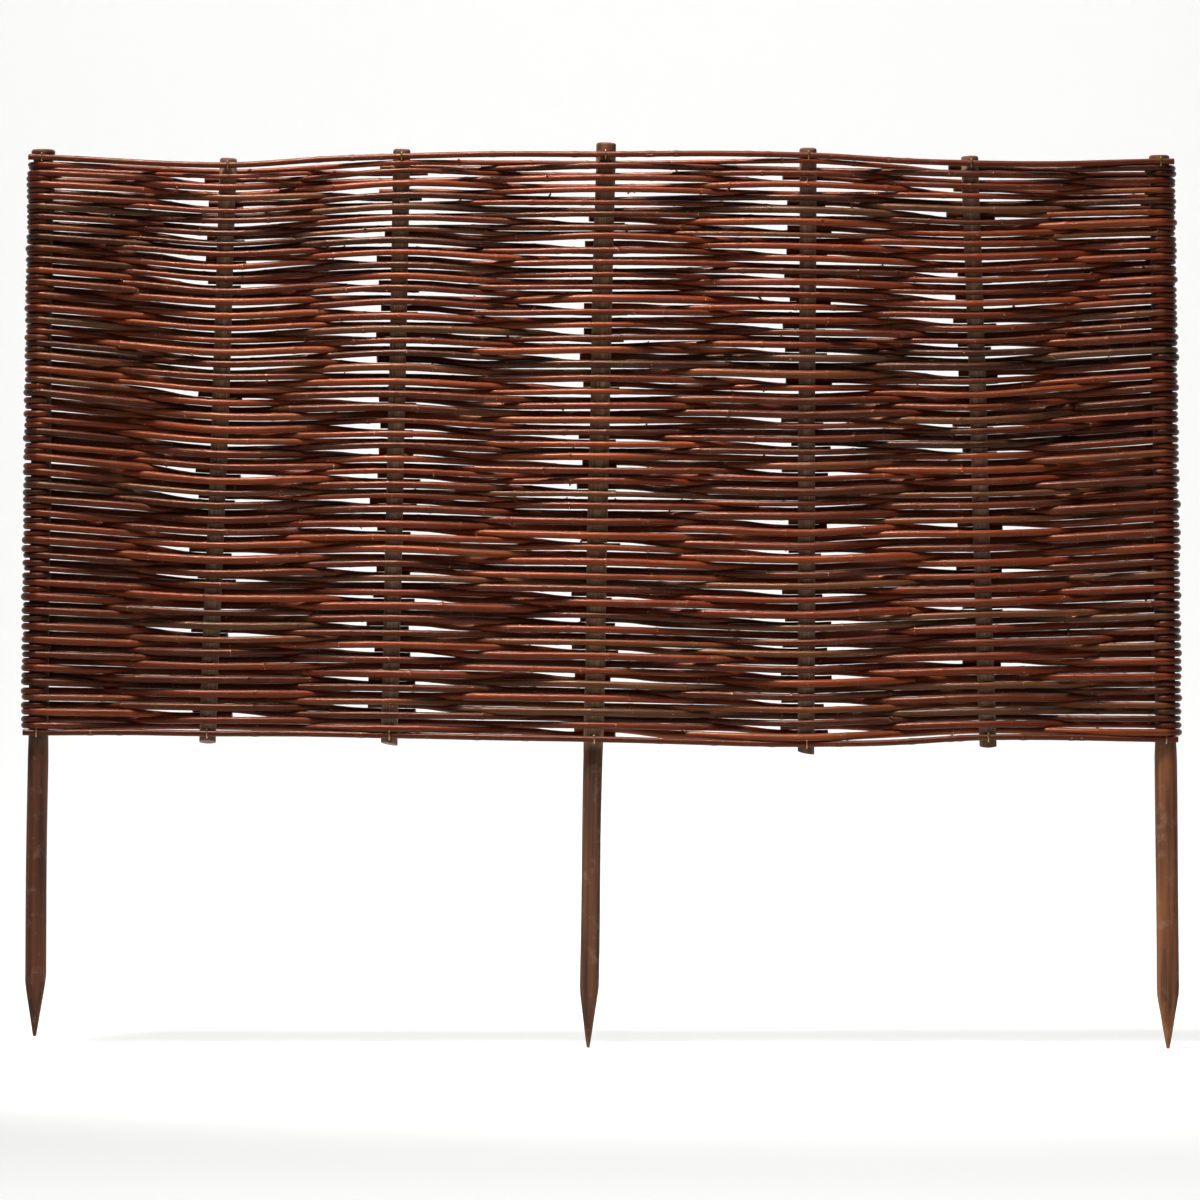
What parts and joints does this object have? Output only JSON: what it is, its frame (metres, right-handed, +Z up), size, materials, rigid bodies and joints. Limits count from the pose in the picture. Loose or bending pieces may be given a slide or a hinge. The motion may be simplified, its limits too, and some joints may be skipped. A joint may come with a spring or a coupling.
{
  "type": "woven willow hurdle",
  "caption": "Low garden hurdle of brown willow rods woven round upright sails, with pointed stakes to drive into the ground and stapled binding rods along its top and bottom edges",
  "frame": {"origin": "On the axis of the centre stake at the ground line, where its straight leg starts, under the bottom binding rod.", "axes": "+X runs along the hurdle to its right end as seen from the front, +Z is up, and the front, with the binding rods, faces -Y."},
  "size_m": [1.2079, 0.0364, 0.939],
  "materials": {
    "upright_wood": "weathered round pole, brown stain over fine upright grain",
    "willow_bark": "smooth willow bark, dark red-brown, semi-gloss",
    "staple_steel": "bright plated wire"
  },
  "bodies": {
    "root": {"stake_left": "upright_wood", "stake_centre": "upright_wood", "stake_right": "upright_wood", "sail_1": "upright_wood", "sail_2": "upright_wood", "sail_3": "upright_wood", "sail_4": "upright_wood", "willow_weave": "willow_bark", "top_binding_rod": "willow_bark", "bottom_binding_rod": "willow_bark", "top_staples": "staple_steel", "bottom_staples": "staple_steel"}
  },
  "joints": []
}
